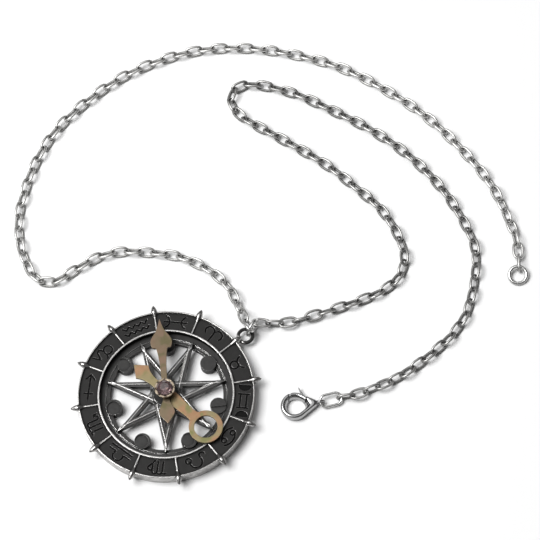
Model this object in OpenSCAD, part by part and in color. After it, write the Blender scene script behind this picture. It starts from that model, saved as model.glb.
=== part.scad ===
// Compass pendant on a long link chain, laid open on a flat surface.
// Millimetres, +Z up, the surface at z = 0, the origin under the middle of the pendant.

/* [Zodiac ring] */
// Direction in which the bail points, in degrees from +X
pendant_turn = 33.3; // [0:0.1:90]
// Outer radius of the ring without its claws
ring_outer_r = 22.4; // [20:0.1:26]
// Radius of the window in the ring
ring_inner_r = 16.9; // [15.5:0.1:18]
// Height of the ring at its raised rims
ring_h = 4; // [3.6:0.1:5]
// Depth of the panels below the rims
panel_drop = 0.6; // [0.3:0.05:1]
// Width of the raised rim at the window
rim_w = 0.45; // [0.3:0.05:0.8]
// Width of the raised rim at the outer edge
outer_rim_w = 0.3; // [0.2:0.05:0.8]
// Width of the ribs between the panels
rib_w = 0.35; // [0.2:0.05:0.8]
// Depth of the step behind the window that seats the rose
step_h = 2; // [1.5:0.1:2.6]
// Width of that step
step_w = 1.2; // [0.8:0.1:1.6]
// Height of a sign
sign_h = 4; // [2.5:0.1:4.2]
// Width of the strokes of a sign
stroke_w = 0.42; // [0.2:0.02:0.5]
// Depth of the strokes of a sign
stroke_d = 0.35; // [0.1:0.05:0.5]

/* [Claws and bail eye] */
// Widest radius of the grain of a claw
claw_bead_r = 0.85; // [0.6:0.05:1.2]
// Distance from the ring's outer radius to the widest part of the grain
claw_reach = 0.15; // [0:0.05:0.8]
// Rise of the grain above the rims
claw_rise = 0.5; // [0.2:0.05:0.8]
// Length of the claw's point down the wall
claw_drop = 3.2; // [1.5:0.1:3.4]
// Length of the grain inwards
claw_tail = 2.2; // [1:0.1:3]
// Length of the grain outwards
claw_nose = 1.9; // [1:0.1:2.4]
// Distance from the ring's outer radius to the middle of the bail eye
eye_reach = 3.2; // [2.9:0.1:4.5]
// Radius of the bail eye at the middle of its wire
eye_r = 1.85; // [1.6:0.05:2.4]
// Wire of the bail eye
eye_wire = 0.9; // [0.7:0.05:1.1]

/* [Star rose] */
// Distance from the middle to the tips of the star
star_r = 15.6; // [14.5:0.1:16.2]
// Width of the bars of the star
star_bar_w = 1.3; // [0.9:0.05:1.8]
// Height of the side walls of the bars
star_wall_h = 1.4; // [0.8:0.05:1.6]
// Height of the ridge on the bars
star_ridge_h = 0.45; // [0.2:0.05:0.5]
// Outer radius of the hub boss
boss_r = 3.9; // [3.5:0.1:5]
// Width of the bevel round the boss
boss_bevel = 0.6; // [0.3:0.05:0.9]
// Radius of the studs round the bevel
boss_bead_r = 0.5; // [0.3:0.05:0.6]
// Width of the ledge that carries the star
ledge_w = 3.6; // [3.2:0.1:3.9]
// Distance from the rose's edge to the bead line on the ledge
ledge_bead_inset = 2.6; // [2.4:0.05:3]
// Height of the bead line on the ledge
ledge_bead_h = 0.25; // [0.1:0.05:0.5]
// Diameter of a moon disc
moon_d = 4.1; // [3:0.1:4.6]
// Distance from the middle to the moon discs
moon_reach = 13.5; // [12.8:0.1:14]
// Height of a moon disc above the surface
moon_top = 2.8; // [2.2:0.1:3.2]

/* [Hands and hub] */
// Length of the spade hand from the pin to its tip
spade_len = 19.7; // [15:0.1:22]
// Widest width of the spade
spade_w = 5.5; // [4:0.1:7]
// Length of the tail of the spade hand
spade_tail_len = 8.8; // [6:0.1:11]
// Widest width of that tail
spade_tail_w = 4; // [3:0.1:5]
// Direction of the spade hand
spade_turn = 90; // [0:1:360]
// Distance from the pin to the middle of the loop of the ring hand
loop_reach = 13.9; // [10:0.1:15]
// Outer diameter of that loop
loop_d = 8.6; // [6:0.1:9]
// Width of the rim of that loop
loop_rim_w = 1.35; // [0.8:0.05:2]
// Length of the tail of the ring hand
loop_tail_len = 11.1; // [8:0.1:13]
// Widest width of that tail
loop_tail_w = 4.6; // [3:0.1:6]
// Direction of the ring hand
loop_turn = -48; // [-180:1:180]
// Thickness of both hands
hand_t = 0.7; // [0.5:0.05:0.9]
// Diameter of the pin
pin_d = 1.8; // [1.4:0.1:2.2]
// Diameter of the cup on the pin
cup_d = 5.1; // [4.6:0.1:6]
// Height of the cup
cup_h = 1.8; // [1.4:0.1:2.4]
// Diameter of the cut stone
stone_d = 4; // [3:0.1:4.2]
// Width of the table of the stone
table_w = 2.2; // [1.6:0.05:2.6]
// Height of the crown of the stone
crown_h = 0.75; // [0.5:0.05:1]

/* [Chain and rings] */
// Pitch of the chain
link_pitch = 3.45; // [3:0.05:4]
// Width of a link over its wire
link_w = 3.1; // [2.6:0.1:3.6]
// Wire of a link
link_wire = 0.68; // [0.5:0.05:0.8]
// Radius of the ring on the bail at the middle of its wire
bail_ring_r = 2.25; // [2:0.05:2.6]
// Wire of the ring on the bail
bail_ring_wire = 0.9; // [0.7:0.05:1]
// Radius of the ring at the chain's free end
end_ring_r = 2.2; // [1.8:0.05:3]
// Wire of the ring at the chain's free end
end_ring_wire = 1; // [0.7:0.05:1]
// Length of the oval ring on the clasp over its wire
clasp_ring_len = 6.2; // [5:0.1:7]
// Width of the oval ring on the clasp over its wire
clasp_ring_w = 3.7; // [3:0.1:4.4]
// Wire of the oval ring
clasp_ring_wire = 0.7; // [0.5:0.05:0.8]

/* [Clasp] */
// Outer radius of the round end of the clasp
clasp_r = 3.6; // [3:0.1:4.5]
// Radius of the hole in the clasp
clasp_hole_r = 2.55; // [2:0.05:3]
// Thickness of the clasp
clasp_t = 2.4; // [2:0.1:3]
// Distance from the hole's middle to the end of the tail's round
clasp_tail_reach = 4.9; // [4.6:0.1:6]
// Radius of the tail's round
clasp_tail_r = 1; // [0.8:0.05:1.3]
// Diameter of the lever's pin
lever_pin_d = 0.8; // [0.6:0.05:1]
// Thickness of the lever's root
lever_root_t = 0.8; // [0.6:0.05:1.1]
// Distance from the lever's pin to its tip
lever_reach = 5.2; // [4.5:0.1:5.6]
// Height of the thumb tab above the lever
tab_h = 1.7; // [1:0.1:2.2]

/* [Hidden] */
$fn = 72;
slack = 0.1;           // between pieces that don't move on each other
run_slack = 0.06;      // between a pin and its bore
hand_slack = 0.3;      // between the hands and what they turn over
over = 0.5;            // how far a cutter goes past what it cuts
sunk = 0.1;            // how far raised work stands in what carries it
lift = 0.05;           // between a face and what stands just over or under it
signs = 12;
tips = 7;
panel_z = ring_h - panel_drop;
panel_mid_r = (ring_inner_r + ring_outer_r) / 2;
step_r = ring_inner_r + step_w;
stroke_h = stroke_d + over;
claw_at = ring_outer_r + claw_reach;
claw_point_r = 0.12;
claw_drop_r = claw_bead_r - 0.1;

// Half widths of a claw's grain as shares of its widest, and places along it as shares of its two lengths
GRAIN = [[0, -1], [0.4, -0.62], [0.84, -0.2], [1, 0], [0.9, 0.3], [0.52, 0.74], [0, 1]];

eye_at = ring_outer_r + eye_reach;
eye_neck_w = 1.1 * eye_wire;
eye_neck_h = 0.8 * eye_wire;
eye_neck_sunk = 0.3;

rose_r = step_r - slack;
ledge_z = 0.4;
ledge_h = step_h - slack - ledge_z;
ledge_top = ledge_z + ledge_h;
ledge_bead_r = rose_r - ledge_bead_inset;
ledge_bead_w = 0.5;
star_z = ledge_top - sunk;
star_edge = star_r * cos(180 * 3 / tips);    // distance of a bar's outer edge from the middle
trim = 0.06;           // what the star's outline takes off the outer edge of a bar
star_flat_w = 0.2;     // width of the worn flat on a ridge
star_top = star_wall_h + star_ridge_h;
star_valley_r = star_edge / cos(180 * 2 / tips);
boss_top = ring_h;
pin_floor = 0.8;       // metal left under the pin's bore
tip_turn = pendant_turn + 180 / tips;
moon_step_h = 0.4;     // depth of the lowered part of a moon's face
moon_line_w = 0.45;
half_moon = 6;

// Lowered round of each moon's face as shares of the disc's radius: x, y and radius, or none
MOON_CUTS = [[], [0.3, -0.1, 0.8], [-0.22, 0.04, 0.84], [-0.06, -0.12, 0.88], [-0.14, -0.03, 0.87],
    [-0.17, 0.05, 0.85], []];

loop_z = boss_top + hand_slack;
spade_z = loop_z + hand_t + hand_slack;
cup_z = spade_z + hand_t + hand_slack / 2;
collar_w = 0.7;         // of the collars of the hands round the pin
collar_r = pin_d / 2 + collar_w;
cup_foot_r = 1.5;
cup_rim_h = 0.7;
stone_z = cup_z + cup_h + slack;
seat_h = 1.1;          // depth of the stone below its girdle
girdle_h = 0.1;
crown_mid_r = 0.8;     // shares of the stone's radius and of its crown's height
crown_mid_h = 0.6;
facet_turn = 22.5;     // of the facets that stand between those of the table
pavilion_mid = 0.5;    // share of the radius and of the depth
stud_r = 0.3;
studs = 8;

// Half widths of the hands as shares of their widest half width, at shares of their length
AT = 0;
HALF = 1;
SPADE = [[0.2, 0.26], [0.38, 0.31], [0.5, 0.4], [0.555, 0.47], [0.582, 0.5], [0.59, 0.55],
    [0.598, 0.86], [0.61, 0.9], [0.64, 0.97], [0.675, 1], [0.71, 0.96], [0.76, 0.76], [0.81, 0.49],
    [0.87, 0.28], [0.93, 0.14], [1, 0]];
SPADE_TAIL = [[0.2, 0.37], [0.3, 0.42], [0.42, 0.62], [0.54, 0.88], [0.655, 1], [0.74, 0.88],
    [0.86, 0.48], [0.94, 0.2], [1, 0]];
LOOP_TAIL = [[0.2, 0.46], [0.36, 0.435], [0.5, 0.5], [0.6, 0.62], [0.68, 0.81], [0.74, 1],
    [0.87, 0.5], [1, 0]];
LOOP_SHAFT = [[0.25, 0.38], [0.45, 0.33], [0.61, 0.3], [0.68, 0.32], [0.73, 0.4], [0.78, 0.6]];

link_r = link_wire / 2;
link_play = 0.17;
link_half = link_pitch / 2 + link_r + link_play;    // half length at the middle of the wire
link_side = link_w / 2 - link_r;
blunt = 0.77;
LINK_SIDES = 10;
WIRE_SIDES = 5;
steps = 10;            // points of the route between two of its chosen points
turn_over = 6;         // links over which the roll changes at an end
chain_roll = 45;

// Routes of the two stretches of chain, from the bail to the free end, at the middle of the links. They and the
// places below are counted from the middle of the bail eye.
RING_ROUTE = [[1.48, 0.44, 4.78], [0.4, 3.64, 3.6], [-0.7, 6.94, 2.5], [-1.6, 10.34, 1.7], [-3, 14.14, 1.4],
    [-6.2, 18.34, 1.25], [-10.9, 22.04, 1.22], [-16.9, 25.04, 1.22], [-28.8, 27.44, 1.22], [-35.6, 26.84, 1.22],
    [-41.8, 24.04, 1.22], [-46.8, 21.24, 1.22], [-50.2, 20.94, 1.22], [-53, 22.84, 1.22], [-54.6, 26.14, 1.22],
    [-56, 31.24, 1.22], [-56.4, 36.94, 1.22], [-55.5, 43.74, 1.22], [-50.9, 55.74, 1.22], [-43.2, 66.54, 1.22],
    [-30.2, 76.44, 1.22], [-18.3, 81.74, 1.22], [-5, 84.34, 1.22], [8.5, 83.44, 1.22], [21.2, 79.84, 1.22],
    [32.8, 74.54, 1.22], [43.5, 66.74, 1.22], [53.2, 57.74, 1.22], [61.3, 47.14, 1.22], [67.9, 35.64, 1.22],
    [71.4, 23.94, 1.4], [72.4, 17.94, 1.58], [71.78, 10.79, 1.6]];
CLASP_ROUTE = [[2.7, 3.54, 2], [6.2, 2.84, 1.85], [9.6, 2.54, 1.7], [13.1, 2.84, 1.6], [18.8, 4.04, 1.5],
    [25.4, 5.54, 1.3], [31.7, 7.14, 1.22], [37.4, 9.34, 1.22], [41, 12.34, 1.22], [43, 16.34, 1.22],
    [42.8, 20.94, 1.22], [41.2, 26.34, 1.22], [38.2, 32.34, 1.22], [33.8, 37.54, 1.22], [26, 46.04, 1.22],
    [15.9, 54.34, 1.22], [6, 61.94, 1.22], [3.2, 65.14, 1.22], [2.2, 68.74, 1.22], [3.9, 71.74, 1.22],
    [7.4, 72.54, 1.22], [12.4, 71.34, 1.22], [20, 68.04, 1.22], [27.2, 63.34, 1.22], [38.1, 55.54, 1.22],
    [47.6, 46.44, 1.22],
    [55.3, 35.44, 1.22], [60.3, 23.44, 1.22], [61.5, 17.04, 1.22], [60.9, 12.44, 1.22], [59.7, 7.54, 1.22],
    [57.3, 0.94, 1.22], [53.5, -4.36, 1.22], [48.5, -8.56, 1.22], [42.9, -12.36, 1.3], [37.3, -15.46, 1.45],
    [30.9, -17.66, 1.6], [26.2, -18.86, 1.6], [22, -19.16, 1.5]];

// Places of the rings and of the clasp
bail_ring_at = [2, 1.84, bail_ring_r + bail_ring_wire / 2 + lift];
bail_ring_turn = 52;
end_ring_at = [71.4, 9.34, 1.06];
end_ring_turn = 78;
end_ring_lift = 14.5;
clasp_at = [10.6, -20.16];
clasp_turn = 3;
clasp_ring_turn = 8;
clasp_ring_roll = 15;

clasp_eye_r = 0.95;
clasp_eye_wire = 0.7;
clasp_eye_sunk = 0.3;
clasp_eye_x = clasp_tail_reach + clasp_tail_r + clasp_eye_r - clasp_eye_sunk;
clasp_eye_z = clasp_eye_r + clasp_eye_wire / 2 + lift;
clasp_nose_x = 2.9;    // middle of the narrow end of the hole
clasp_nose_y = -0.15;
clasp_nose_r = 0.8;
lever_x = 3.95;        // the lever's pin
lever_y = 0.55;
lever_gap = 0.12;
lever_end_x = 3.1;     // where the lever's full thickness ends
lever_root_r = 0.8;
slot_t = lever_root_t + 0.2;
slot_x = 4.85;
slot_y = -0.55;
lever_pin_inset = 0.2; // from the clasp's faces to the ends of the pin
lever_side_gap = 0.05;
lever_foot = 0.2;      // how far the lever's zone goes below its pin
tab_y = clasp_r - 0.5;

// The lever's root from its full thickness to the pin, and the foot and tip of the thumb tab
LEVER_ROOT = [[2.4, 2.3], [2.4, 1.7], [2.9, 0.7]];
TAB_FOOT = [[2.9, 2.2], [1.6, 2.9]];
TAB_TIP_X = [1.75, 2.05];

// A curved stroke of a sign about [x, y], all in shares of the sign's height
module arc(x, y, r, from, to) {
    translate([x * sign_h, y * sign_h, 0])
        rotate([0, 0, from])
            rotate_extrude(angle = to - from)
                translate([r * sign_h - stroke_w / 2, 0])
                    square([stroke_w, stroke_h]);
}

// A straight stroke of a sign
module bar(x0, y0, x1, y1) {
    run = [x1 - x0, y1 - y0] * sign_h;
    translate([x0 * sign_h, y0 * sign_h, 0])
        rotate([0, 0, atan2(run.y, run.x)])
            translate([-stroke_w / 3, -stroke_w / 2, 0])
                cube([norm(run) + stroke_w * 2 / 3, stroke_w, stroke_h]);
}

// A half disc, its flat side along the direction from
module half_disc(x, y, r, from) {
    translate([x * sign_h, y * sign_h, 0])
        rotate([0, 0, from])
            rotate_extrude(angle = 180)
                square([r * sign_h, stroke_h]);
}

module aries() {
    bar(0, -0.48, 0, 0.14);
    arc(0.3, 0.14, 0.3, -50, 180);
    arc(-0.3, 0.14, 0.3, 0, 240);
}

module taurus() {
    arc(0, -0.2, 0.26, 0, 360);
    arc(0, 0.45, 0.42, 195, 345);
}

module gemini() {
    half_disc(1.08, 0, 0.42, 90);
    half_disc(-1.08, 0, 0.42, -90);
    for (side = [-1, 1]) {
        bar(-0.4, 0.2 * side, 0.4, 0.2 * side);
        bar(0.46 * side, -0.36, 0.46 * side, 0.36);
    }
}

module cancer() {
    arc(-0.36, 0.07, 0.15, 0, 360);
    arc(0.06, -0.4, 0.78, 42, 128);
    arc(0.36, -0.07, 0.15, 0, 360);
    arc(-0.06, 0.4, 0.78, 222, 308);
}

module leo() {
    arc(0.46, -0.2, 0.17, 0, 360);
    arc(0.04, 0.04, 0.38, -30, 190);
    bar(-0.34, 0, -0.3, -0.26);
    arc(-0.47, -0.26, 0.17, 180, 360);
}

// The strokes that virgo and scorpio share
module m_strokes() {
    arc(-0.52, 0.24, 0.12, 20, 160);
    for (x = [-0.4, -0.08]) {
        bar(x, -0.42, x, 0.24);
        arc(x + 0.16, 0.24, 0.16, 0, 180);
    }
}

module virgo() {
    m_strokes();
    bar(0.24, -0.2, 0.24, 0.24);
    arc(0.37, 0.04, 0.15, -70, 160);
    bar(0.42, -0.12, 0.1, -0.48);
}

module libra() {
    bar(-0.75, -0.36, 0.75, -0.36);
    bar(-0.75, -0.08, -0.28, -0.08);
    bar(0.28, -0.08, 0.75, -0.08);
    arc(0, 0.1, 0.33, -33, 213);
}

module scorpio() {
    m_strokes();
    bar(0.24, -0.24, 0.24, 0.24);
    arc(0.38, -0.26, 0.14, 180, 290);
    bar(0.43, -0.39, 0.62, -0.2);
    bar(0.62, -0.2, 0.62, -0.38);
    bar(0.62, -0.2, 0.46, -0.18);
}

module sagittarius() {
    bar(-0.85, 0, 0.85, 0);
    bar(0.85, 0, 0.54, 0.28);
    bar(0.85, 0, 0.54, -0.28);
    bar(-0.42, -0.28, -0.42, 0.28);
}

module capricorn() {
    bar(-0.76, 0.36, -0.56, -0.12);
    bar(-0.56, -0.12, -0.36, 0.26);
    arc(-0.2, 0.22, 0.17, 0, 165);
    bar(-0.03, 0.22, -0.03, -0.14);
    arc(0.26, -0.06, 0.28, -150, 170);
    arc(-0.3, -0.14, 0.27, -80, 0);
}

module aquarius() {
    for (row = [-0.2, 0.2])
        for (k = [-4:3])
            let (side = k % 2 == 0 ? 1 : -1)
            bar(k * 0.21, row + 0.09 * side, (k + 1) * 0.21, row - 0.09 * side);
}

module pisces() {
    arc(-0.8, 0, 0.42, -72, 72);
    arc(0.8, 0, 0.42, 108, 252);
    bar(-0.72, 0, 0.72, 0);
}

// One sign, counted anticlockwise from the bail
module zodiac_sign(n) {
    if (n == 0) aries();
    if (n == 1) pisces();
    if (n == 2) aquarius();
    if (n == 3) capricorn();
    if (n == 4) sagittarius();
    if (n == 5) scorpio();
    if (n == 6) libra();
    if (n == 7) virgo();
    if (n == 8) leo();
    if (n == 9) cancer();
    if (n == 10) gemini();
    if (n == 11) taurus();
}

// A pointed grain lying across the rim, with a point down the wall where no eye is in its way
module claw(has_drop) {
    mid_z = ring_h + claw_rise - claw_bead_r;
    translate([claw_at, 0, mid_z])
        rotate([0, 90, 0])
            rotate_extrude()
                polygon([for (g = GRAIN) [g.x * claw_bead_r, g.y * (g.y < 0 ? claw_tail : claw_nose)]]);
    if (has_drop)
        translate([claw_at, 0, mid_z - claw_drop])
            cylinder(h = claw_drop, r1 = claw_point_r, r2 = claw_drop_r);
}

// Puts what hangs from the pendant at the middle of its eye
module from_eye() {
    translate([eye_at * cos(pendant_turn), eye_at * sin(pendant_turn), 0])
        children();
}

module torus(r, wire) {
    rotate_extrude()
        translate([r, 0])
            circle(d = wire);
}

module compass_ring() {
    color("dimgray")
        rotate([0, 0, pendant_turn]) {
            difference() {
                rotate_extrude()
                    polygon([[step_r, 0], [ring_outer_r, 0], [ring_outer_r, ring_h],
                        [ring_outer_r - outer_rim_w, ring_h], [ring_outer_r - outer_rim_w, panel_z],
                        [ring_inner_r + rim_w, panel_z],
                        [ring_inner_r + rim_w, ring_h], [ring_inner_r, ring_h], [ring_inner_r, step_h],
                        [step_r, step_h]]);
                for (n = [0:signs - 1])
                    rotate([0, 0, (n + 0.5) * 360 / signs - 90])
                        translate([0, panel_mid_r, panel_z - stroke_d])
                            zodiac_sign(n);
            }
            for (n = [0:signs - 1])
                rotate([0, 0, n * 360 / signs]) {
                    claw(n > 0);
                    translate([ring_inner_r + rim_w / 2, -rib_w / 2, panel_z - sunk])
                        cube([ring_outer_r - ring_inner_r - (rim_w + outer_rim_w) / 2, rib_w, panel_drop]);
                }
            translate([eye_at, 0, ring_h / 2])
                torus(eye_r, eye_wire);
            translate([ring_outer_r - eye_neck_sunk, -eye_neck_w / 2, (ring_h - eye_neck_h) / 2])
                cube([eye_reach - eye_r + eye_neck_sunk, eye_neck_w, eye_neck_h]);
        }
}

// One bar of the star with a ridge along its top, a little wider than when the star is trimmed to its outline
module star_bar() {
    ridge = star_edge - star_bar_w / 2;
    rotate([90, 0, 90])
        linear_extrude(height = 2 * star_r, center = true)
            polygon([[star_edge - star_bar_w, 0], [star_edge + trim, 0], [star_edge + trim, star_wall_h],
                [ridge + star_flat_w / 2, star_top], [ridge - star_flat_w / 2, star_top],
                [star_edge - star_bar_w, star_wall_h]]);
}

module star() {
    intersection() {
        union()
            for (k = [0:tips - 1])
                rotate([0, 0, tip_turn + 90 + k * 360 / tips])
                    star_bar();
        rotate([0, 0, tip_turn])
            linear_extrude(height = star_top + over)
                polygon([for (k = [0:2 * tips - 1])
                    (k % 2 == 0 ? star_r : star_valley_r) * [cos(k * 180 / tips), sin(k * 180 / tips)]]);
    }
}

// A moon disc: its face is full, or lowered where the moon is dark
module moon(n) {
    r = moon_d / 2;
    top = moon_top - ledge_z;
    cut = MOON_CUTS[n];
    difference() {
        cylinder(h = top, r = r);
        if (len(cut) > 0)
            translate([cut.x * r, cut.y * r, top - moon_step_h])
                cylinder(h = moon_step_h + over, r = cut.z * r);
        if (n == half_moon)
            translate([-r - over, -r - over, top - moon_step_h])
                cube([2 * (r + over), r + over - moon_line_w / 2, moon_step_h + over]);
    }
}

module star_rose() {
    color("slategray")
        difference() {
            union() {
                translate([0, 0, star_z])
                    star();
                rotate_extrude()
                    polygon([[rose_r - ledge_w, ledge_z], [rose_r, ledge_z], [rose_r, ledge_top],
                        [ledge_bead_r + ledge_bead_w / 2, ledge_top],
                        [ledge_bead_r, ledge_top + ledge_bead_h],
                        [ledge_bead_r - ledge_bead_w / 2, ledge_top],
                        [rose_r - ledge_w, ledge_top]]);
                for (n = [0:tips - 1])
                    rotate([0, 0, pendant_turn + n * 360 / tips])
                        translate([moon_reach, 0, ledge_z])
                            rotate([0, 0, -pendant_turn - n * 360 / tips])
                                moon(n);
                cylinder(h = boss_top - boss_bevel, r = boss_r);
                translate([0, 0, boss_top - boss_bevel])
                    cylinder(h = boss_bevel, r1 = boss_r, r2 = boss_r - boss_bevel);
                for (k = [0:tips - 1])
                    rotate([0, 0, tip_turn + k * 360 / tips])
                        translate([boss_r - boss_bevel / 2, 0, ledge_top])
                            cylinder(h = boss_top - ledge_top - lift, r = boss_bead_r);
            }
            translate([0, 0, pin_floor])
                cylinder(h = boss_top, r = pin_d / 2 + slack / 2);
        }
}

// One arm of a hand along +X, from its table of half widths
module arm(table, reach, half) {
    last = len(table) - 1;
    linear_extrude(height = hand_t)
        polygon(concat([[0, table[0][HALF] * half]], [for (row = table) [row[AT] * reach, row[HALF] * half]],
            [for (k = [last:-1:0]) if (table[k][HALF] > 0) [table[k][AT] * reach, -table[k][HALF] * half]],
            [[0, -table[0][HALF] * half]]));
}

module pin_bore() {
    translate([0, 0, -over])
        cylinder(h = hand_t + 2 * over, r = pin_d / 2 + run_slack);
}

module ring_hand() {
    color("goldenrod")
        translate([0, 0, loop_z])
            rotate([0, 0, loop_turn])
                difference() {
                    union() {
                        arm(LOOP_SHAFT, loop_reach, loop_d / 2);
                        rotate([0, 0, 180])
                            arm(LOOP_TAIL, loop_tail_len, loop_tail_w / 2);
                        cylinder(h = hand_t, r = collar_r);
                        translate([loop_reach, 0, 0])
                            cylinder(h = hand_t, d = loop_d);
                    }
                    translate([loop_reach, 0, -over])
                        cylinder(h = hand_t + 2 * over, d = loop_d - 2 * loop_rim_w);
                    pin_bore();
                }
}

module spade_hand() {
    color("darkgoldenrod")
        translate([0, 0, spade_z])
            rotate([0, 0, spade_turn])
                difference() {
                    union() {
                        arm(SPADE, spade_len, spade_w / 2);
                        rotate([0, 0, 180])
                            arm(SPADE_TAIL, spade_tail_len, spade_tail_w / 2);
                        cylinder(h = hand_t, r = collar_r);
                    }
                    pin_bore();
                }
}

module hub_pin() {
    rim_r = cup_d / 2;
    color("peru")
        difference() {
            union() {
                translate([0, 0, pin_floor + slack])
                    cylinder(h = cup_z - pin_floor, d = pin_d);
                translate([0, 0, cup_z])
                    cylinder(h = cup_h - cup_rim_h, r1 = cup_foot_r, r2 = rim_r);
                translate([0, 0, cup_z + cup_h - cup_rim_h])
                    cylinder(h = cup_rim_h, r = rim_r);
                for (k = [0:studs - 1])
                    rotate([0, 0, k * 360 / studs])
                        translate([rim_r - stud_r, 0, cup_z + cup_h])
                            sphere(r = stud_r);
            }
            translate([0, 0, stone_z - seat_h - slack])
                cylinder(h = seat_h + over, r1 = slack, r2 = slack + (seat_h + over) * stone_d / 2 / seat_h);
        }
}

// A ring of points of the stone
function stone_ring(count, r, z, turn = 0) = [for (k = [0:count - 1])
    [r * cos(turn + k * 360 / count), r * sin(turn + k * 360 / count), z]];

// A round cut with a table, star, kite and girdle facets over a pointed pavilion
module crystal() {
    r = stone_d / 2;
    points = concat(stone_ring(8, table_w / 2, crown_h),
        stone_ring(8, crown_mid_r * r, crown_mid_h * crown_h, facet_turn),
        stone_ring(16, r, girdle_h), stone_ring(16, r, 0),
        stone_ring(8, pavilion_mid * r, -pavilion_mid * seat_h, facet_turn), [[0, 0, -seat_h]]);
    color("thistle")
        translate([0, 0, stone_z])
            hull()
                polyhedron(points, [for (k = [0:len(points) - 3]) [k, k + 1, k + 2]]);
}

module bail_ring() {
    color("silver")
        from_eye()
            translate(bail_ring_at)
                rotate([90, 0, bail_ring_turn])
                    torus(bail_ring_r, bail_ring_wire);
}

// A point on the smooth curve through the chosen points
function curve_point(p, k, t) =
    let (a = p[max(k - 1, 0)], b = p[k], c = p[k + 1], d = p[min(k + 2, len(p) - 1)])
    ((2 * b) + (c - a) * t + (2 * a - 5 * b + 4 * c - d) * t ^ 2 + (3 * b - a - 3 * c + d) * t ^ 3) / 2;

function curve(p) = concat([for (k = [0:len(p) - 2]) for (s = [0:steps - 1]) curve_point(p, k, s / steps)],
    [p[len(p) - 1]]);

function lengths(c) =
    [for (i = 0, s = 0; i < len(c); i = i + 1, s = s + (i < len(c) ? norm(c[i] - c[i - 1]) : 0)) s];

// The joints between the links, evenly spaced along the route
function joints(route) =
    let (c = curve(route), at = lengths(c), whole = at[len(c) - 1], links = round(whole / link_pitch))
    [for (k = [0:links]) [for (axis = [0:2])
        lookup(whole * k / links, [for (i = [0:len(c) - 1]) [at[i], c[i][axis]]])]];

// The middle of a link's wire: an oval with blunt ends
function oval(a) =
    [link_half * sign(cos(a)) * abs(cos(a)) ^ blunt, link_side * sign(sin(a)) * abs(sin(a)) ^ blunt];

// A link lying flat along +X
module link() {
    points = [for (k = [0:LINK_SIDES - 1]) for (j = [0:WIRE_SIDES - 1])
        let (at = oval(k * 360 / LINK_SIDES), b = j * 360 / WIRE_SIDES,
            along = oval((k + 1) * 360 / LINK_SIDES) - oval((k - 1) * 360 / LINK_SIDES),
            out = [along.y, -along.x] / norm(along))
        [at.x + link_r * cos(b) * out.x, at.y + link_r * cos(b) * out.y, link_r * sin(b)]];
    faces = [for (k = [0:LINK_SIDES - 1]) for (j = [0:WIRE_SIDES - 1])
        let (k1 = (k + 1) % LINK_SIDES, j1 = (j + 1) % WIRE_SIDES)
        each [[k * WIRE_SIDES + j, k * WIRE_SIDES + j1, k1 * WIRE_SIDES + j1],
            [k * WIRE_SIDES + j, k1 * WIRE_SIDES + j1, k1 * WIRE_SIDES + j]]];
    polyhedron(points, faces);
}

// The roll of a link, by turns to either side
function side_roll(k) = (k % 2 == 0 ? 1 : -1) * chain_roll;

// Links along a route. Over the first few the roll comes from that of the first link, and the last one stands
// upright.
module chain(route, first_roll) {
    at = joints(route);
    last = len(at) - 2;
    start_shift = first_roll - side_roll(0);
    end_shift = sign(side_roll(last)) * 90 - side_roll(last);
    for (k = [0:last]) {
        run = at[k + 1] - at[k];
        shift = start_shift * max(0, 1 - k / turn_over) + end_shift * max(0, 1 - (last - k) / turn_over);
        translate((at[k] + at[k + 1]) / 2)
            rotate([side_roll(k) + shift, -asin(run.z / norm(run)), atan2(run.y, run.x)])
                link();
    }
}

module chain_ring_side() {
    color("lightgray")
        from_eye()
            chain(RING_ROUTE, 55);
}

module chain_clasp_side() {
    color("gainsboro")
        from_eye()
            chain(CLASP_ROUTE, -19);
}

module end_ring() {
    color("silver")
        from_eye()
            translate(end_ring_at)
                rotate([0, -end_ring_lift, end_ring_turn])
                    torus(end_ring_r, end_ring_wire);
}

module clasp_ring() {
    end_r = (clasp_ring_w - clasp_ring_wire) / 2;
    straight = clasp_ring_len - clasp_ring_w;
    reach = clasp_ring_len / 2 - clasp_ring_wire / 2;
    color("silver")
        place_clasp()
            translate([clasp_eye_x, 0, clasp_eye_z])
                rotate([clasp_ring_roll, 0, clasp_ring_turn - clasp_turn])
                    translate([reach, 0, 0])
                        for (side = [-1, 1]) {
                            translate([side * straight / 2, 0, 0])
                                rotate([0, 0, -90 * side])
                                    rotate_extrude(angle = 180)
                                        translate([end_r, 0])
                                            circle(d = clasp_ring_wire);
                            translate([-straight / 2, side * end_r, 0])
                                rotate([0, 90, 0])
                                    cylinder(h = straight, d = clasp_ring_wire);
                        }
}

// A round with a smaller round beside it and the two tangents between them
module drop_shape(r, at, small_r) {
    reach = norm(at);
    lean = acos((r - small_r) / reach);
    circle(r = r);
    translate(at)
        circle(r = small_r);
    rotate(atan2(at.y, at.x))
        polygon([r * [cos(lean), sin(lean)], r * [cos(lean), -sin(lean)],
            [reach + small_r * cos(lean), -small_r * sin(lean)],
            [reach + small_r * cos(lean), small_r * sin(lean)]]);
}

module clasp_wall() {
    difference() {
        drop_shape(clasp_r, [clasp_tail_reach, 0], clasp_tail_r);
        drop_shape(clasp_hole_r, [clasp_nose_x, clasp_nose_y], clasp_nose_r);
    }
}

// The part of the wall that is the lever, grown by a gap where the body is cut for it
module lever_zone(gap) {
    intersection() {
        translate([lever_x, lever_y])
            circle(r = lever_reach + gap);
        translate([-clasp_r, lever_y - lever_foot - gap])
            square([clasp_r + lever_end_x + gap, 2 * clasp_r]);
        polygon([[lever_x, lever_y - 1], [lever_x, 2 * clasp_r], [-clasp_r / 2, 2 * clasp_r],
            [-clasp_r / 2, lever_y + 1]]);
    }
}

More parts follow.
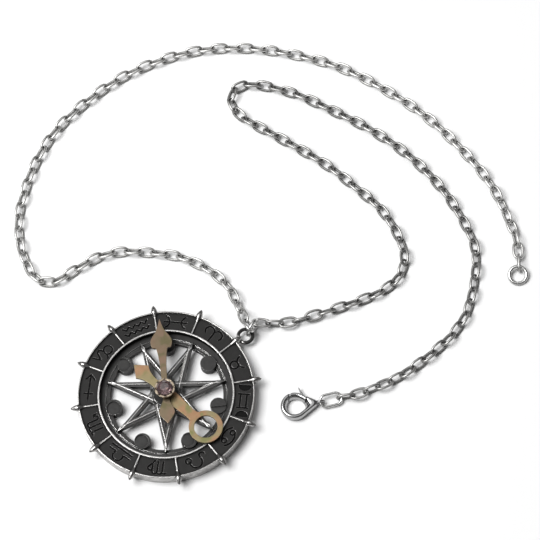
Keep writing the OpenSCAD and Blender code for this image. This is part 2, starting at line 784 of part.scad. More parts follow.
module place_clasp() {
    from_eye()
        translate([clasp_at.x, clasp_at.y, 0])
            rotate([0, 0, clasp_turn])
                children();
}

module clasp_body() {
    color("lightsteelblue")
        place_clasp() {
            difference() {
                linear_extrude(height = clasp_t)
                    difference() {
                        clasp_wall();
                        lever_zone(lever_gap);
                    }
                translate([clasp_hole_r, slot_y, (clasp_t - slot_t) / 2])
                    cube([slot_x - clasp_hole_r, clasp_r, slot_t]);
            }
            translate([lever_x, lever_y, lever_pin_inset])
                cylinder(h = clasp_t - 2 * lever_pin_inset, d = lever_pin_d);
            translate([clasp_eye_x, 0, clasp_eye_z])
                rotate([90, 0, 0])
                    torus(clasp_eye_r, clasp_eye_wire);
        }
}

module clasp_lever() {
    color("steelblue")
        place_clasp()
            difference() {
                union() {
                    translate([0, 0, lever_side_gap])
                        linear_extrude(height = clasp_t - 2 * lever_side_gap)
                            intersection() {
                                clasp_wall();
                                lever_zone(0);
                            }
                    translate([0, 0, (clasp_t - lever_root_t) / 2])
                        linear_extrude(height = lever_root_t)
                            union() {
                                translate([lever_x, lever_y])
                                    circle(r = lever_root_r);
                                polygon(concat([[lever_x, lever_y + lever_root_r]], LEVER_ROOT,
                                    [[lever_x, lever_y - lever_root_r / 2]]));
                                polygon(concat(TAB_FOOT, [for (x = TAB_TIP_X) [x, tab_y + tab_h]]));
                            }
                }
                translate([lever_x, lever_y, -over])
                    cylinder(h = clasp_t + 2 * over, r = lever_pin_d / 2 + run_slack);
            }
}

compass_ring();
star_rose();
ring_hand();
spade_hand();
hub_pin();
crystal();
bail_ring();
chain_ring_side();
chain_clasp_side();
end_ring();
clasp_ring();
clasp_body();
clasp_lever();
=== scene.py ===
"""Looks of a compass pendant necklace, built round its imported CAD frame.

Lengths are in metres, in the frame of the part: +Z up from the surface that the necklace lies on, +X to the
right and +Y away, the origin under the middle of the pendant. The chain and the clasp are worked out in
millimetres and turned into metres when they are laid in place.
"""

import logging
import math
from dataclasses import dataclass
from enum import Enum

import bpy
import numpy as np
from mathutils import Matrix, Vector


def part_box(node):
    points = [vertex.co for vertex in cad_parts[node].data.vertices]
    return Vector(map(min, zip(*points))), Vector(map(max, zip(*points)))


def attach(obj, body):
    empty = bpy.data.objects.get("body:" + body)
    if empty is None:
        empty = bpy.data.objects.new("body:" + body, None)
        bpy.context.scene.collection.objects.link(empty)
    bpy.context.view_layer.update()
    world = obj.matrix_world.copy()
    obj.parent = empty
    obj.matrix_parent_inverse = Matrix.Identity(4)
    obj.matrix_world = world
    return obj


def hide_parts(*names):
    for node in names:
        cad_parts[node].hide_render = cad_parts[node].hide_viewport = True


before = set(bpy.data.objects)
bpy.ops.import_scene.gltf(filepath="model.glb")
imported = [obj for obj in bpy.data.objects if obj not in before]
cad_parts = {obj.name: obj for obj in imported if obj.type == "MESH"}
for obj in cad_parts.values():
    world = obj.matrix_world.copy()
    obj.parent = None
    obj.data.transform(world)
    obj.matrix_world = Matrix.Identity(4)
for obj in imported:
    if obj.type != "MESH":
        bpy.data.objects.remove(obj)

MM = 0.001
# Rays that the nodes for edges and hollows cast at each shaded point.
NODE_SAMPLES = 6
BLACK = (0.0, 0.0, 0.0)
log = logging.getLogger("necklace")
Colour = tuple[float, float, float]
Point = tuple[float, float, float]
Faces = list[list[int]]
Socket = bpy.types.NodeSocket
Value = Socket | float | Colour


class Slot(Enum):
    """Material slots of the record, whose names are logged for the new pieces."""

    RING_STEEL = "ring_steel"
    CHAIN_STEEL = "chain_steel"
    CLASP_STEEL = "clasp_steel"


class Arithmetic(Enum):
    """Steps of arithmetic that a material takes with numbers or with vectors."""

    ADD = "ADD"
    SUBTRACT = "SUBTRACT"
    MULTIPLY = "MULTIPLY"
    MAXIMUM = "MAXIMUM"
    LENGTH = "LENGTH"
    DOT = "DOT_PRODUCT"


@dataclass(frozen=True)
class Cloud:
    """Cloudy noise with scale periods to a metre, and the part of its range from low to high that is used."""

    scale: float
    detail: float = 3.0
    roughness: float = 0.5
    low: float = 0.0
    high: float = 1.0


class Tree:
    """A material's nodes, with short ways to add and to join them."""

    def __init__(self, name: str) -> None:
        """Start a material that has a principled shader and the object's own coordinates.

        Args:
            name: the material's name.
        """
        self.material = bpy.data.materials.new(name)
        self.material.use_nodes = True
        self.nodes = self.material.node_tree.nodes
        self.links = self.material.node_tree.links
        self.shader = self.nodes["Principled BSDF"]
        self.place = self.add("ShaderNodeTexCoord").outputs["Object"]

    def feed(self, socket: Socket, value: Value) -> None:
        """Join an output to a socket, or set the socket to a plain value.

        Args:
            socket: what is fed.
            value: another node's output, a number or a colour.
        """
        if isinstance(value, Socket):
            self.links.new(value, socket)
        else:
            socket.default_value = value

    def add(self, kind: str, settings: dict[str, object] | None = None, **inputs: Value) -> bpy.types.Node:
        """Add a node.

        Args:
            kind: Blender's name of the node.
            settings: the node's own properties.
            inputs: values or outputs for its sockets, an underscore standing for a space.

        Returns:
            The node.
        """
        node = self.nodes.new(kind)
        for key, value in (settings or {}).items():
            setattr(node, key, value)
        for key, value in inputs.items():
            self.feed(node.inputs[key.replace("_", " ")], value)
        return node

    def finished(self, sockets: dict[str, Value]) -> bpy.types.Material:
        """Feed the shader and hand over the material.

        Args:
            sockets: a value or an output for each of the shader's sockets that is named.

        Returns:
            The material.
        """
        for name, value in sockets.items():
            self.feed(self.shader.inputs[name], value)
        return self.material

    def noise(self, cloud: Cloud) -> Socket:
        """The cloud's own value, between 0 and 1."""
        node = self.add("ShaderNodeTexNoise", Vector=self.place, Scale=cloud.scale, Detail=cloud.detail,
                        Roughness=cloud.roughness)
        return node.outputs["Fac"]

    def patches(self, cloud: Cloud, to_low: float = 0.0, to_high: float = 1.0) -> Socket:
        """The cloud's value carried smoothly from to_low at its low to to_high at its high."""
        return self.step(self.noise(cloud), cloud.low, cloud.high, to_low, to_high)

    def step(self, value: Value, low: float, high: float, to_low: float = 0.0,
             to_high: float = 1.0) -> Socket:
        """Carry a value smoothly from one range into another.

        Args:
            value: what is carried.
            low: the start of its range.
            high: the end of its range, which may be the lesser of the two.
            to_low: what it becomes at low and before.
            to_high: what it becomes at high and past it.

        Returns:
            The carried value.
        """
        node = self.add("ShaderNodeMapRange", {"interpolation_type": "SMOOTHSTEP"}, Value=value,
                        From_Min=low, From_Max=high, To_Min=to_low, To_Max=to_high)
        return node.outputs["Result"]

    def maths(self, operation: Arithmetic, a: Value, b: Value, clamp: bool = False) -> Socket:
        """Take one step of arithmetic with two numbers.

        Args:
            operation: the step.
            a: the first number.
            b: the second number.
            clamp: whether the result is kept between 0 and 1.

        Returns:
            The result.
        """
        node = self.add("ShaderNodeMath", {"operation": operation.value, "use_clamp": clamp})
        self.feed(node.inputs[0], a)
        self.feed(node.inputs[1], b)
        return node.outputs[0]

    def times(self, first: Value, *others: Value) -> Value:
        """Multiply several numbers.

        Args:
            first: the first number.
            others: the rest of them.

        Returns:
            The product.
        """
        for other in others:
            first = self.maths(Arithmetic.MULTIPLY, first, other)
        return first

    def vector(self, operation: Arithmetic, *values: Value) -> bpy.types.Node:
        """Take one step of arithmetic with vectors.

        Args:
            operation: the step.
            values: the vectors that it takes.

        Returns:
            The node, whose outputs hold a vector and a number.
        """
        node = self.add("ShaderNodeVectorMath", {"operation": operation.value})
        for socket, value in zip(node.inputs, values):
            self.feed(socket, value)
        return node

    def mix(self, share: Value, a: Value, b: Value) -> Socket:
        """Mix two colours. The node's sockets go by number, since its colour and number sockets share names.

        Args:
            share: 0 for the first colour and 1 for the second.
            a: the first colour.
            b: the second colour.

        Returns:
            The mixed colour.
        """
        node = self.add("ShaderNodeMix", {"data_type": "RGBA"})
        factor, first, second = (node.inputs[index] for index in (0, 6, 7))
        self.feed(factor, share)
        for socket, colour in ((first, a), (second, b)):
            self.feed(socket, (*colour, 1.0) if isinstance(colour, tuple) else colour)
        return node.outputs[2]

    def height(self) -> Socket:
        """The height above the surface, in metres."""
        return self.add("ShaderNodeSeparateXYZ", Vector=self.place).outputs["Z"]

    def reach(self) -> Socket:
        """The distance from the upright line through the origin, in metres."""
        flat = self.vector(Arithmetic.MULTIPLY, self.place, (1.0, 1.0, 0.0))
        return self.vector(Arithmetic.LENGTH, flat.outputs["Vector"]).outputs["Value"]

    def openness(self, distance: float) -> Socket:
        """1 where the piece's own surface is open and less where it is closed in within distance."""
        settings = {"only_local": True, "samples": NODE_SAMPLES}
        return self.add("ShaderNodeAmbientOcclusion", settings, Distance=distance).outputs["AO"]

    def rounded(self, radius: float) -> Socket:
        """The normal of the piece with its edges rounded to radius."""
        return self.add("ShaderNodeBevel", {"samples": NODE_SAMPLES}, Radius=radius).outputs["Normal"]

    def edge(self, rounded: Socket, flat: float = 0.999, sharp: float = 0.87) -> Socket:
        """Tell edges from flats by how far the rounded normal leans from the true one.

        Args:
            rounded: the normal of the piece with its edges rounded.
            flat: the cosine of the lean up to which the surface counts as flat.
            sharp: the cosine of the lean from which it counts as an edge.

        Returns:
            0 on a flat and up to 1 beside an edge.
        """
        true = self.add("ShaderNodeNewGeometry").outputs["True Normal"]
        return self.step(self.vector(Arithmetic.DOT, rounded, true).outputs["Value"], flat, sharp)

    def bump(self, height: Socket, distance: float, normal: Socket) -> Socket:
        """The normal of the surface when height stands out of it by up to distance."""
        node = self.add("ShaderNodeBump", Strength=1.0, Distance=distance, Height=height, Normal=normal)
        return node.outputs["Normal"]


@dataclass(frozen=True)
class AntiquedMetal:
    """Metal with a dark patina that is rubbed off where it stands out.

    The rubbing grows from floor_wear at the height low to top_wear at high and ends above the height fade.
    It is at least outer_wear beyond the distance outer from the upright line through the origin, and nearly
    nothing beyond far. Hollows take it away, and edges add edge_wear where they stand open. Painted shade
    darkens the colour: within the distance outer all below the height sunk is nearly black, and closed-in
    places keep only the share nook of their colour. A change at a height or a distance comes over the
    stretch named after it, and a change with the openness of the surface over the range named after it.
    From the wear full_metal on, the surface is wholly metallic.
    """

    name: str
    worn: Colour
    patina: Colour
    low: float
    high: float
    floor_wear: float
    top_wear: float
    edge_wear: float
    hollow: float
    mottle: float
    worn_roughness: float = 0.25
    patina_roughness: float = 0.45
    patina_metal: float = 0.25
    full_metal: float = 0.6
    gloss: float = 0.5
    fade: float = 1.0
    fade_stretch: float = 0.1 * MM
    outer: float = 1.0
    outer_stretch: float = 0.05 * MM
    outer_wear: float = 0.75
    far: float = 2.0
    far_stretch: float = 0.4 * MM
    far_share: float = 0.02
    # Painted shade: the colour is darkened below the height sunk and in closed-in places.
    sunk: float = -1.0
    sunk_stretch: float = 0.12 * MM
    sunk_shade: float = 0.12
    nook_shade: float = 0.4
    nook_shade_range: tuple[float, float] = (0.3, 0.95)
    hollow_range: tuple[float, float] = (0.35, 0.95)
    lip_range: tuple[float, float] = (0.35, 0.6)
    edge_radius: float = 0.12 * MM
    rubbing: Cloud = Cloud(700, 4, 0.6, low=0.25, high=0.75)
    smears: Cloud = Cloud(2500)
    smear_depth: float = 0.18
    grains: Cloud = Cloud(9000, 3, 0.6)
    grain: float = 0.004 * MM

    def wear(self, tree: Tree, outside: Socket, openness: Socket, edge: Socket) -> Socket:
        """Work out how far the patina is rubbed off.

        Args:
            tree: the material's nodes.
            outside: 1 beyond the distance outer and 0 within it.
            openness: 1 where the surface is open and less where it is closed in.
            edge: 1 beside an edge and 0 on a flat.

        Returns:
            0 for whole patina and 1 for bare metal.
        """
        height = tree.height()
        raised = tree.times(tree.step(height, self.low, self.high, self.floor_wear, self.top_wear),
                            tree.step(height, self.fade, self.fade + self.fade_stretch, 1.0, 0.0))
        wear = tree.maths(Arithmetic.MAXIMUM, raised, tree.times(outside, self.outer_wear))
        near = tree.step(tree.reach(), self.far, self.far + self.far_stretch, 1.0, self.far_share)
        rubbed = tree.patches(self.rubbing, 1.0 - self.mottle, 1.0 + self.mottle)
        wear = tree.times(wear, near, rubbed, tree.step(openness, *self.hollow_range))
        lips = tree.times(edge, self.edge_wear, tree.step(openness, *self.lip_range))
        return tree.maths(Arithmetic.ADD, wear, lips, clamp=True)

    def light(self, tree: Tree, outside: Socket, openness: Socket) -> Socket:
        """Work out how much of its colour the metal keeps.

        Args:
            tree: the material's nodes.
            outside: 1 beyond the distance outer and 0 within it.
            openness: 1 where the surface is open and less where it is closed in.

        Returns:
            0 for black and 1 for the whole colour.
        """
        # Painted shade: nearly black below the height sunk within the distance outer, and darker where the
        # surface is closed in.
        raised = tree.step(tree.height(), self.sunk - self.sunk_stretch, self.sunk, self.sunk_shade, 1.0)
        kept = tree.maths(Arithmetic.MAXIMUM, raised, outside)
        return tree.times(kept, tree.step(openness, *self.nook_shade_range, self.nook_shade, 1.0))

    def material(self) -> bpy.types.Material:
        """Build the material, whose wear sets its colour, its roughness and how metallic it is.

        Returns:
            The material.
        """
        tree = Tree(self.name)
        rounded = tree.rounded(self.edge_radius)
        openness = tree.openness(self.hollow)
        outside = tree.step(tree.reach(), self.outer, self.outer + self.outer_stretch)
        wear = self.wear(tree, outside, openness, tree.edge(rounded))
        # The patina and the bare metal are mixed by the wear, then darkened towards black by painted shade.
        tone = tree.mix(self.light(tree, outside, openness), BLACK, tree.mix(wear, self.patina, self.worn))
        rough = tree.step(wear, 0.0, 1.0, self.patina_roughness, self.worn_roughness)
        smear = tree.times(tree.maths(Arithmetic.SUBTRACT, tree.noise(self.smears), 0.5), self.smear_depth)
        return tree.finished({
            "Base Color": tone,
            "Roughness": tree.maths(Arithmetic.ADD, rough, smear, clamp=True),
            "Normal": tree.bump(tree.noise(self.grains), self.grain, rounded),
            "Metallic": tree.step(wear, 0.0, self.full_metal, self.patina_metal, 1.0),
            "Specular IOR Level": self.gloss,
        })


@dataclass(frozen=True)
class PatchyBrass:
    """Satin brass sheet that has tarnished in patches, with lighter edges and fine dark specks."""

    name: str
    base: Colour
    blush: Colour
    olive: Colour
    edge_colour: Colour
    speck_colour: Colour = (0.06, 0.05, 0.035)
    blushes: Cloud = Cloud(190, 2, 0.4, low=0.42, high=0.62)
    olives: Cloud = Cloud(330, 2, 0.5, low=0.5, high=0.66)
    specks: Cloud = Cloud(5200, 1, 0.3, low=0.7, high=0.78)
    edge_share: float = 0.75
    speck_share: float = 0.55
    edge_radius: float = 0.14 * MM
    smears: Cloud = Cloud(900, 4, 0.6, low=0.3, high=0.7)
    smoothest: float = 0.34
    roughest: float = 0.52
    metal: float = 0.85
    grains: Cloud = Cloud(6000, 3, 0.6)
    grain: float = 0.003 * MM

    def material(self) -> bpy.types.Material:
        """Build the material: two soft clouds choose among three tones, and a fine one sets the specks.

        Returns:
            The material.
        """
        tree = Tree(self.name)
        rounded = tree.rounded(self.edge_radius)
        tone = tree.mix(tree.patches(self.blushes), self.base, self.blush)
        tone = tree.mix(tree.patches(self.olives), tone, self.olive)
        tone = tree.mix(tree.times(tree.edge(rounded), self.edge_share), tone, self.edge_colour)
        tone = tree.mix(tree.times(tree.patches(self.specks), self.speck_share), tone, self.speck_colour)
        return tree.finished({
            "Base Color": tone,
            "Roughness": tree.patches(self.smears, self.smoothest, self.roughest),
            "Normal": tree.bump(tree.noise(self.grains), self.grain, rounded),
            "Metallic": self.metal,
        })


@dataclass(frozen=True)
class CutStone:
    """A faceted mauve glass stone."""

    name: str
    tint: Colour
    index: float = 1.9
    clearness: float = 0.85
    deeper: float = 0.55
    clouds: Cloud = Cloud(900, 2, 0.5, low=0.35, high=0.65)
    marks: Cloud = Cloud(4000, 2, 0.5, low=0.3, high=0.7)
    mark_roughness: float = 0.02

    def material(self) -> bpy.types.Material:
        """Build the material: tinted glass, deeper in tint in places, with faint polishing marks.

        Returns:
            The material.
        """
        tree = Tree(self.name)
        deep_tint = tuple(self.deeper * part for part in self.tint)
        return tree.finished({
            "Base Color": tree.mix(tree.patches(self.clouds), self.tint, deep_tint),
            "Roughness": tree.patches(self.marks, 0.0, self.mark_roughness),
            "Transmission Weight": self.clearness,
            "IOR": self.index,
        })


@dataclass(frozen=True)
class PaleSurface:
    """The matt white surface under the necklace."""

    name: str
    shade: float = 0.92
    dimmest: float = 0.985
    clouds: Cloud = Cloud(6, 2)
    roughness: float = 0.8
    gloss: float = 0.2

    def material(self) -> bpy.types.Material:
        """Build the material: near white, with a very faint cloudiness.

        Returns:
            The material.
        """
        tree = Tree(self.name)
        light = (self.shade,) * 3
        dim = (self.shade * self.dimmest,) * 3
        return tree.finished({
            "Base Color": tree.mix(tree.noise(self.clouds), light, dim),
            "Roughness": self.roughness,
            "Specular IOR Level": self.gloss,
        })


def turned(x: float, y: float, z: float) -> np.ndarray:
    """The rotation by x about X, then by y about Y, then by z about Z.

    Args:
        x: degrees about X.
        y: degrees about Y.
        z: degrees about Z.

    Returns:
        A matrix of three rows.
    """
    spins = [Matrix.Rotation(math.radians(angle), 3, axis) for angle, axis in ((z, "Z"), (y, "Y"), (x, "X"))]
    return np.array(spins[0] @ spins[1] @ spins[2])


def round_path(count: int) -> np.ndarray:
    """Evenly spaced points (cos a, sin a) of the circle of radius 1, anticlockwise from X."""
    a = np.arange(count) * 2 * np.pi / count
    return np.stack([np.cos(a), np.sin(a)], axis=1)


def blunted(values: np.ndarray, power: float) -> np.ndarray:
    """The values raised to a power with their signs kept, which makes a round fuller when it is below 1."""
    return np.sign(values) * np.abs(values) ** power


def lengths(path: np.ndarray) -> np.ndarray:
    """How far each point of a path lies along it."""
    return np.concatenate([[0.0], np.cumsum(np.linalg.norm(np.diff(path, axis=0), axis=1))])


def spaced(path: np.ndarray, shares: np.ndarray) -> np.ndarray:
    """The points that lie at the given shares of a path's length."""
    along = lengths(path)
    return np.stack([np.interp(shares * along[-1], along, axis) for axis in path.T], axis=1)


def loop_tube(middle: np.ndarray, radius: float, sides: int) -> np.ndarray:
    """The surface of a wire bent into a closed flat loop.

    A point at step k and angle b is the loop's middle line at k, plus radius cos b along the outward normal
    there, plus radius sin b along Z. The outward normal is the chord from the point before to the point
    after, turned by a right angle.

    Args:
        middle: points of the middle line in the XY plane, anticlockwise.
        radius: half the wire's thickness.
        sides: points round the wire.

    Returns:
        Points of shape (steps, sides, 3).
    """
    chord = np.roll(middle, -1, axis=0) - np.roll(middle, 1, axis=0)
    outward = np.stack([chord[:, 1], -chord[:, 0]], axis=1) / np.linalg.norm(chord, axis=1)[:, None]
    section = radius * round_path(sides)
    flat = middle[:, None, :] + section[None, :, :1] * outward[:, None, :]
    up = np.broadcast_to(section[None, :, 1:], (*flat.shape[:2], 1))
    return np.concatenate([flat, up], axis=2)


def closed_grid(copies: int, steps: int, sides: int) -> Faces:
    """Quads over copies of a grid that closes in both directions.

    Args:
        copies: how many separate grids follow one another in the point list.
        steps: points along each grid.
        sides: points round each grid.

    Returns:
        Four indices a face, each quad facing outwards.
    """
    c, k, j = np.meshgrid(np.arange(copies), np.arange(steps), np.arange(sides), indexing="ij")
    k_next = (k + 1) % steps
    j_next = (j + 1) % sides
    corners = [(k, j), (k_next, j), (k_next, j_next), (k, j_next)]
    return np.stack([(c * steps + a) * sides + b for a, b in corners], axis=-1).reshape(-1, 4).tolist()


def capped_grid(rows: int, sides: int) -> Faces:
    """Faces over a grid that closes round and whose two ends run to a point each.

    Args:
        rows: rings of points along the grid.
        sides: points round each ring. The first end's point follows the rings in the point list, then the
            last end's.

    Returns:
        Quads between the rings and triangles at both ends, facing outwards.
    """
    r, j = np.meshgrid(np.arange(rows - 1), np.arange(sides), indexing="ij")
    j_next = (j + 1) % sides
    corners = [(r, j), (r + 1, j), (r + 1, j_next), (r, j_next)]
    quads = np.stack([a * sides + b for a, b in corners], axis=-1)
    j = np.arange(sides)
    j_next = (j + 1) % sides
    start = np.stack([np.full(sides, rows * sides), j, j_next], axis=-1)
    last = (rows - 1) * sides
    end = np.stack([np.full(sides, rows * sides + 1), last + j_next, last + j], axis=-1)
    return quads.reshape(-1, 4).tolist() + start.tolist() + end.tolist()


def new_piece(name: str, points: np.ndarray, faces: Faces, finish: bpy.types.Material, slot: Slot,
              body: str = "body") -> bpy.types.Object:
    """Make a smooth mesh piece that rides on one of the necklace's bodies.

    Args:
        name: the piece's name.
        points: all points, in any shape that ends in three.
        faces: the indices of each face.
        finish: the piece's material.
        slot: the record's slot for it, whose name is logged.
        body: what it moves with.

    Returns:
        The piece.
    """
    mesh = bpy.data.meshes.new(name)
    mesh.from_pydata(points.reshape(-1, 3).tolist(), [], faces)
    mesh.polygons.foreach_set("use_smooth", np.ones(len(faces), dtype=bool))
    mesh.materials.append(finish)
    mesh.update()
    piece = bpy.data.objects.new(name, mesh)
    bpy.context.scene.collection.objects.link(piece)
    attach(piece, body)
    log.info("piece %s: %d faces, %s", name, len(faces), slot.value)
    return piece


def dress(node: str, finish: bpy.types.Material) -> None:
    """Give a CAD node its finish.

    Args:
        node: the node's name.
        finish: its material.
    """
    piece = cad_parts[node]
    for place in piece.material_slots:
        place.material = finish
    log.info("node %s: %s", node, finish.name)


def middle_of(node: str) -> np.ndarray:
    """The middle of a CAD node's box."""
    low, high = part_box(node)
    return (np.array(low) + np.array(high)) / 2


@dataclass
class Pendant:
    """The two castings: the zodiac ring and the star rose in its window."""

    # Painted shade takes the ring nearly to black below the height sunk, and both castings to a tenth of
    # their colour where they are closed in.
    ring: AntiquedMetal = AntiquedMetal(
        "zodiac_ring_pewter", worn=(0.54, 0.53, 0.52), patina=(0.02, 0.0195, 0.019), low=3.5 * MM,
        high=3.9 * MM, outer=22.35 * MM, far=23.9 * MM, sunk=3.35 * MM, floor_wear=0.012, top_wear=0.8,
        edge_wear=1.0, edge_radius=0.22 * MM, nook_shade=0.1, patina_metal=0.0, gloss=0.08, hollow=0.9 * MM,
        mottle=0.35)
    rose: AntiquedMetal = AntiquedMetal(
        "star_rose_pewter", worn=(0.7, 0.69, 0.68), patina=(0.018, 0.0175, 0.017), low=2.9 * MM,
        high=3.6 * MM, fade=3.75 * MM, floor_wear=0.03, top_wear=0.55, edge_wear=0.85, worn_roughness=0.18,
        edge_radius=0.16 * MM, nook_shade=0.1, patina_metal=0.0, gloss=0.15, hollow=0.9 * MM, mottle=0.35)

    def build(self) -> None:
        """Dress both castings."""
        dress("compass_ring", self.ring.material())
        dress("star_rose", self.rose.material())


@dataclass
class Hands:
    """The two turning hands with their pin, its cup and the stone."""

    ring_hand: PatchyBrass = PatchyBrass(
        "ring_hand_brass", base=(0.205, 0.17, 0.093), blush=(0.26, 0.15, 0.085), olive=(0.155, 0.148, 0.064),
        edge_colour=(0.6, 0.5, 0.36))
    spade_hand: PatchyBrass = PatchyBrass(
        "spade_hand_brass", base=(0.14, 0.108, 0.07), blush=(0.16, 0.108, 0.075), olive=(0.108, 0.092, 0.05),
        edge_colour=(0.45, 0.37, 0.26))
    cup: AntiquedMetal = AntiquedMetal(
        "cup_brass", worn=(0.42, 0.35, 0.27), patina=(0.06, 0.045, 0.03), low=6.1 * MM, high=7.6 * MM,
        floor_wear=0.3, top_wear=0.65, edge_wear=0.3, hollow=0.4 * MM, mottle=0.1)
    stone: CutStone = CutStone("mauve_stone", tint=(0.5, 0.33, 0.34))

    def build(self) -> None:
        """Dress the hands, the pin and the stone."""
        dress("ring_hand", self.ring_hand.material())
        dress("spade_hand", self.spade_hand.material())
        dress("hub_pin", self.cup.material())
        dress("crystal", self.stone.material())


@dataclass(frozen=True)
class WireRing:
    """A ring of round wire in the place of a CAD node. Sizes are in millimetres and turns in degrees.

    It is a circle, or two half circles with straight sides between them.
    """

    name: str
    node: str
    radius: float
    wire: float
    turn: Point
    straight: float = 0.0
    steps: int = 72
    sides: int = 16

    def middle_line(self) -> np.ndarray:
        """The circle's points, moved out along X by half the straight side, each to its own side.

        Returns:
            One row of two for each point.
        """
        circle = self.radius * round_path(self.steps)
        circle[:, 0] += np.where(circle[:, 0] >= 0, self.straight / 2, -self.straight / 2)
        return circle

    def build(self, finish: bpy.types.Material) -> None:
        """Build the ring about the middle of its node.

        Args:
            finish: the ring's material.
        """
        flat = loop_tube(self.middle_line(), self.wire / 2, self.sides)
        points = flat @ turned(*self.turn).T * MM + middle_of(self.node)
        faces = closed_grid(1, self.steps, self.sides)
        piece = new_piece(self.name, points, faces, finish, Slot.RING_STEEL)
        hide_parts(self.node)


@dataclass(frozen=True)
class Stretch:
    """A stretch of chain along a route, which is a few given points in millimetres.

    Its first link is rolled by first_roll degrees. The curve through the route is worked out at fineness
    places between two points.
    """

    name: str
    node: str
    first_roll: float
    finish: AntiquedMetal
    route: tuple[Point, ...]
    fineness: int = 10

    def joints(self, pitch: float) -> np.ndarray:
        """The joints between the links, evenly spaced along the smooth curve through the route's points.

        Between b and c, with a before and d after, the curve at t is half of
        2b + (c - a) t + (2a - 5b + 4c - d) t^2 + (3b - a - 3c + d) t^3.

        Args:
            pitch: the distance between joints, which gives way a little to a whole number of links.

        Returns:
            One row of three for each joint.
        """
        p = np.array(self.route, dtype=float)
        padded = np.vstack([p[:1], p, p[-1:]])
        a, b, c, d = (padded[k:len(p) - 1 + k, None, :] for k in range(4))
        t = (np.arange(self.fineness) / self.fineness)[None, :, None]
        bend = (2 * a - 5 * b + 4 * c - d) * t**2 + (3 * b - a - 3 * c + d) * t**3
        curve = (2 * b + (c - a) * t + bend) / 2
        points = np.vstack([curve.reshape(-1, 3), p[-1:]])
        links = round(lengths(points)[-1] / pitch)
        return spaced(points, np.linspace(0, 1, links + 1))


